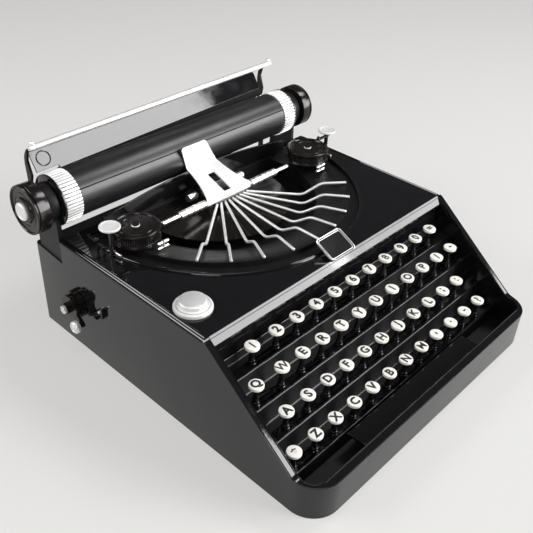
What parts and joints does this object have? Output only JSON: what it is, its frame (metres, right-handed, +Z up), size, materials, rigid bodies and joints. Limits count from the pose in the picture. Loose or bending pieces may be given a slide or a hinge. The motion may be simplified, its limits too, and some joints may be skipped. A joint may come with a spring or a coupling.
{
  "type": "keyboard typewriter",
  "caption": "Folded-sheet desk typewriter with a four-row keyboard, open round type basket with bent type bars, twin spools, side crank and a roller carriage with a paper rest",
  "frame": {"origin": "middle of the underside of the case, on the table plane", "axes": "+X to the typist's right, +Y away from the typist to the carriage, +Z up"},
  "size_m": [0.2764, 0.2718, 0.1485],
  "materials": {
    "black_lacquer": "high-gloss black baked lacquer on folded sheet iron",
    "key_cap": "glossy white moulded cap on a black post",
    "platen_black": "satin black roller with silver rings and caps",
    "polished_steel": "bright nickel-plated steel"
  },
  "bodies": {
    "case": {"card_guide": "polished_steel", "carriage_frame": "black_lacquer", "case_shell": "black_lacquer", "deck_plate": "black_lacquer", "fixed_fittings": "black_lacquer", "keyboard_tiers": "black_lacquer", "type_bars": "polished_steel", "type_basket": "black_lacquer"},
    "space_bar": {"space_bar": "black_lacquer"},
    "push_button": {"push_button": "polished_steel"},
    "platen": {"platen": "platen_black"},
    "spool_left": {"spool_left": "black_lacquer"},
    "spool_right": {"spool_right": "black_lacquer"},
    "side_crank": {"side_crank": "black_lacquer"},
    "key_row1_01": {"key_row1_01": "key_cap"},
    "key_row1_02": {"key_row1_02": "key_cap"},
    "key_row1_03": {"key_row1_03": "key_cap"},
    "key_row1_04": {"key_row1_04": "key_cap"},
    "key_row1_05": {"key_row1_05": "key_cap"},
    "key_row1_06": {"key_row1_06": "key_cap"},
    "key_row1_07": {"key_row1_07": "key_cap"},
    "key_row1_08": {"key_row1_08": "key_cap"},
    "key_row1_09": {"key_row1_09": "key_cap"},
    "key_row1_10": {"key_row1_10": "key_cap"},
    "key_row1_11": {"key_row1_11": "key_cap"},
    "key_row2_01": {"key_row2_01": "key_cap"},
    "key_row2_02": {"key_row2_02": "key_cap"},
    "key_row2_03": {"key_row2_03": "key_cap"},
    "key_row2_04": {"key_row2_04": "key_cap"},
    "key_row2_05": {"key_row2_05": "key_cap"},
    "key_row2_06": {"key_row2_06": "key_cap"},
    "key_row2_07": {"key_row2_07": "key_cap"},
    "key_row2_08": {"key_row2_08": "key_cap"},
    "key_row2_09": {"key_row2_09": "key_cap"},
    "key_row2_10": {"key_row2_10": "key_cap"},
    "key_row2_11": {"key_row2_11": "key_cap"},
    "key_row2_12": {"key_row2_12": "key_cap"},
    "key_row3_01": {"key_row3_01": "key_cap"},
    "key_row3_02": {"key_row3_02": "key_cap"},
    "key_row3_03": {"key_row3_03": "key_cap"},
    "key_row3_04": {"key_row3_04": "key_cap"},
    "key_row3_05": {"key_row3_05": "key_cap"},
    "key_row3_06": {"key_row3_06": "key_cap"},
    "key_row3_07": {"key_row3_07": "key_cap"},
    "key_row3_08": {"key_row3_08": "key_cap"},
    "key_row3_09": {"key_row3_09": "key_cap"},
    "key_row3_10": {"key_row3_10": "key_cap"},
    "key_row3_11": {"key_row3_11": "key_cap"},
    "key_row4_01": {"key_row4_01": "key_cap"},
    "key_row4_02": {"key_row4_02": "key_cap"},
    "key_row4_03": {"key_row4_03": "key_cap"},
    "key_row4_04": {"key_row4_04": "key_cap"},
    "key_row4_05": {"key_row4_05": "key_cap"},
    "key_row4_06": {"key_row4_06": "key_cap"},
    "key_row4_07": {"key_row4_07": "key_cap"},
    "key_row4_08": {"key_row4_08": "key_cap"},
    "key_row4_09": {"key_row4_09": "key_cap"},
    "key_row4_10": {"key_row4_10": "key_cap"},
    "key_row4_11": {"key_row4_11": "key_cap"},
    "key_row4_12": {"key_row4_12": "key_cap"}
  },
  "joints": [
    {"name": "space_bar_press", "type": "slide", "parent": "case", "child": "space_bar", "axis": [0, 0, -1], "range_m": [0, 0.003], "stiffness_N_per_m": 150},
    {"name": "push_button_press", "type": "slide", "parent": "case", "child": "push_button", "axis": [0, 0, -1], "range_m": [0, 0.0018], "stiffness_N_per_m": 150},
    {"name": "platen_turn", "type": "hinge", "parent": "case", "child": "platen", "pos_m": [-0.0045, 0.1142, 0.1072], "axis": [1, 0, 0], "continuous": true},
    {"name": "spool_left_turn", "type": "hinge", "parent": "case", "child": "spool_left", "pos_m": [-0.088, 0.0645, 0.092], "axis": [0, 0, 1], "continuous": true},
    {"name": "spool_right_turn", "type": "hinge", "parent": "case", "child": "spool_right", "pos_m": [0.088, 0.0645, 0.092], "axis": [0, 0, 1], "continuous": true},
    {"name": "side_crank_turn", "type": "hinge", "parent": "case", "child": "side_crank", "pos_m": [-0.13, 0.0865, 0.0395], "axis": [1, 0, 0], "continuous": true},
    {"name": "key_row1_01_press", "type": "slide", "parent": "case", "child": "key_row1_01", "axis": [0, 0, -1], "range_m": [0, 0.0035], "stiffness_N_per_m": 60},
    {"name": "key_row1_02_press", "type": "slide", "parent": "case", "child": "key_row1_02", "axis": [0, 0, -1], "range_m": [0, 0.0035], "stiffness_N_per_m": 60},
    {"name": "key_row1_03_press", "type": "slide", "parent": "case", "child": "key_row1_03", "axis": [0, 0, -1], "range_m": [0, 0.0035], "stiffness_N_per_m": 60},
    {"name": "key_row1_04_press", "type": "slide", "parent": "case", "child": "key_row1_04", "axis": [0, 0, -1], "range_m": [0, 0.0035], "stiffness_N_per_m": 60},
    {"name": "key_row1_05_press", "type": "slide", "parent": "case", "child": "key_row1_05", "axis": [0, 0, -1], "range_m": [0, 0.0035], "stiffness_N_per_m": 60},
    {"name": "key_row1_06_press", "type": "slide", "parent": "case", "child": "key_row1_06", "axis": [0, 0, -1], "range_m": [0, 0.0035], "stiffness_N_per_m": 60},
    {"name": "key_row1_07_press", "type": "slide", "parent": "case", "child": "key_row1_07", "axis": [0, 0, -1], "range_m": [0, 0.0035], "stiffness_N_per_m": 60},
    {"name": "key_row1_08_press", "type": "slide", "parent": "case", "child": "key_row1_08", "axis": [0, 0, -1], "range_m": [0, 0.0035], "stiffness_N_per_m": 60},
    {"name": "key_row1_09_press", "type": "slide", "parent": "case", "child": "key_row1_09", "axis": [0, 0, -1], "range_m": [0, 0.0035], "stiffness_N_per_m": 60},
    {"name": "key_row1_10_press", "type": "slide", "parent": "case", "child": "key_row1_10", "axis": [0, 0, -1], "range_m": [0, 0.0035], "stiffness_N_per_m": 60},
    {"name": "key_row1_11_press", "type": "slide", "parent": "case", "child": "key_row1_11", "axis": [0, 0, -1], "range_m": [0, 0.0035], "stiffness_N_per_m": 60},
    {"name": "key_row2_01_press", "type": "slide", "parent": "case", "child": "key_row2_01", "axis": [0, 0, -1], "range_m": [0, 0.0035], "stiffness_N_per_m": 60},
    {"name": "key_row2_02_press", "type": "slide", "parent": "case", "child": "key_row2_02", "axis": [0, 0, -1], "range_m": [0, 0.0035], "stiffness_N_per_m": 60},
    {"name": "key_row2_03_press", "type": "slide", "parent": "case", "child": "key_row2_03", "axis": [0, 0, -1], "range_m": [0, 0.0035], "stiffness_N_per_m": 60},
    {"name": "key_row2_04_press", "type": "slide", "parent": "case", "child": "key_row2_04", "axis": [0, 0, -1], "range_m": [0, 0.0035], "stiffness_N_per_m": 60},
    {"name": "key_row2_05_press", "type": "slide", "parent": "case", "child": "key_row2_05", "axis": [0, 0, -1], "range_m": [0, 0.0035], "stiffness_N_per_m": 60},
    {"name": "key_row2_06_press", "type": "slide", "parent": "case", "child": "key_row2_06", "axis": [0, 0, -1], "range_m": [0, 0.0035], "stiffness_N_per_m": 60},
    {"name": "key_row2_07_press", "type": "slide", "parent": "case", "child": "key_row2_07", "axis": [0, 0, -1], "range_m": [0, 0.0035], "stiffness_N_per_m": 60},
    {"name": "key_row2_08_press", "type": "slide", "parent": "case", "child": "key_row2_08", "axis": [0, 0, -1], "range_m": [0, 0.0035], "stiffness_N_per_m": 60},
    {"name": "key_row2_09_press", "type": "slide", "parent": "case", "child": "key_row2_09", "axis": [0, 0, -1], "range_m": [0, 0.0035], "stiffness_N_per_m": 60},
    {"name": "key_row2_10_press", "type": "slide", "parent": "case", "child": "key_row2_10", "axis": [0, 0, -1], "range_m": [0, 0.0035], "stiffness_N_per_m": 60},
    {"name": "key_row2_11_press", "type": "slide", "parent": "case", "child": "key_row2_11", "axis": [0, 0, -1], "range_m": [0, 0.0035], "stiffness_N_per_m": 60},
    {"name": "key_row2_12_press", "type": "slide", "parent": "case", "child": "key_row2_12", "axis": [0, 0, -1], "range_m": [0, 0.0035], "stiffness_N_per_m": 60},
    {"name": "key_row3_01_press", "type": "slide", "parent": "case", "child": "key_row3_01", "axis": [0, 0, -1], "range_m": [0, 0.0035], "stiffness_N_per_m": 60},
    {"name": "key_row3_02_press", "type": "slide", "parent": "case", "child": "key_row3_02", "axis": [0, 0, -1], "range_m": [0, 0.0035], "stiffness_N_per_m": 60},
    {"name": "key_row3_03_press", "type": "slide", "parent": "case", "child": "key_row3_03", "axis": [0, 0, -1], "range_m": [0, 0.0035], "stiffness_N_per_m": 60},
    {"name": "key_row3_04_press", "type": "slide", "parent": "case", "child": "key_row3_04", "axis": [0, 0, -1], "range_m": [0, 0.0035], "stiffness_N_per_m": 60},
    {"name": "key_row3_05_press", "type": "slide", "parent": "case", "child": "key_row3_05", "axis": [0, 0, -1], "range_m": [0, 0.0035], "stiffness_N_per_m": 60},
    {"name": "key_row3_06_press", "type": "slide", "parent": "case", "child": "key_row3_06", "axis": [0, 0, -1], "range_m": [0, 0.0035], "stiffness_N_per_m": 60},
    {"name": "key_row3_07_press", "type": "slide", "parent": "case", "child": "key_row3_07", "axis": [0, 0, -1], "range_m": [0, 0.0035], "stiffness_N_per_m": 60},
    {"name": "key_row3_08_press", "type": "slide", "parent": "case", "child": "key_row3_08", "axis": [0, 0, -1], "range_m": [0, 0.0035], "stiffness_N_per_m": 60},
    {"name": "key_row3_09_press", "type": "slide", "parent": "case", "child": "key_row3_09", "axis": [0, 0, -1], "range_m": [0, 0.0035], "stiffness_N_per_m": 60},
    {"name": "key_row3_10_press", "type": "slide", "parent": "case", "child": "key_row3_10", "axis": [0, 0, -1], "range_m": [0, 0.0035], "stiffness_N_per_m": 60},
    {"name": "key_row3_11_press", "type": "slide", "parent": "case", "child": "key_row3_11", "axis": [0, 0, -1], "range_m": [0, 0.0035], "stiffness_N_per_m": 60},
    {"name": "key_row4_01_press", "type": "slide", "parent": "case", "child": "key_row4_01", "axis": [0, 0, -1], "range_m": [0, 0.0035], "stiffness_N_per_m": 60},
    {"name": "key_row4_02_press", "type": "slide", "parent": "case", "child": "key_row4_02", "axis": [0, 0, -1], "range_m": [0, 0.0035], "stiffness_N_per_m": 60},
    {"name": "key_row4_03_press", "type": "slide", "parent": "case", "child": "key_row4_03", "axis": [0, 0, -1], "range_m": [0, 0.0035], "stiffness_N_per_m": 60},
    {"name": "key_row4_04_press", "type": "slide", "parent": "case", "child": "key_row4_04", "axis": [0, 0, -1], "range_m": [0, 0.0035], "stiffness_N_per_m": 60},
    {"name": "key_row4_05_press", "type": "slide", "parent": "case", "child": "key_row4_05", "axis": [0, 0, -1], "range_m": [0, 0.0035], "stiffness_N_per_m": 60},
    {"name": "key_row4_06_press", "type": "slide", "parent": "case", "child": "key_row4_06", "axis": [0, 0, -1], "range_m": [0, 0.0035], "stiffness_N_per_m": 60},
    {"name": "key_row4_07_press", "type": "slide", "parent": "case", "child": "key_row4_07", "axis": [0, 0, -1], "range_m": [0, 0.0035], "stiffness_N_per_m": 60},
    {"name": "key_row4_08_press", "type": "slide", "parent": "case", "child": "key_row4_08", "axis": [0, 0, -1], "range_m": [0, 0.0035], "stiffness_N_per_m": 60},
    {"name": "key_row4_09_press", "type": "slide", "parent": "case", "child": "key_row4_09", "axis": [0, 0, -1], "range_m": [0, 0.0035], "stiffness_N_per_m": 60},
    {"name": "key_row4_10_press", "type": "slide", "parent": "case", "child": "key_row4_10", "axis": [0, 0, -1], "range_m": [0, 0.0035], "stiffness_N_per_m": 60},
    {"name": "key_row4_11_press", "type": "slide", "parent": "case", "child": "key_row4_11", "axis": [0, 0, -1], "range_m": [0, 0.0035], "stiffness_N_per_m": 60},
    {"name": "key_row4_12_press", "type": "slide", "parent": "case", "child": "key_row4_12", "axis": [0, 0, -1], "range_m": [0, 0.0035], "stiffness_N_per_m": 60}
  ]
}
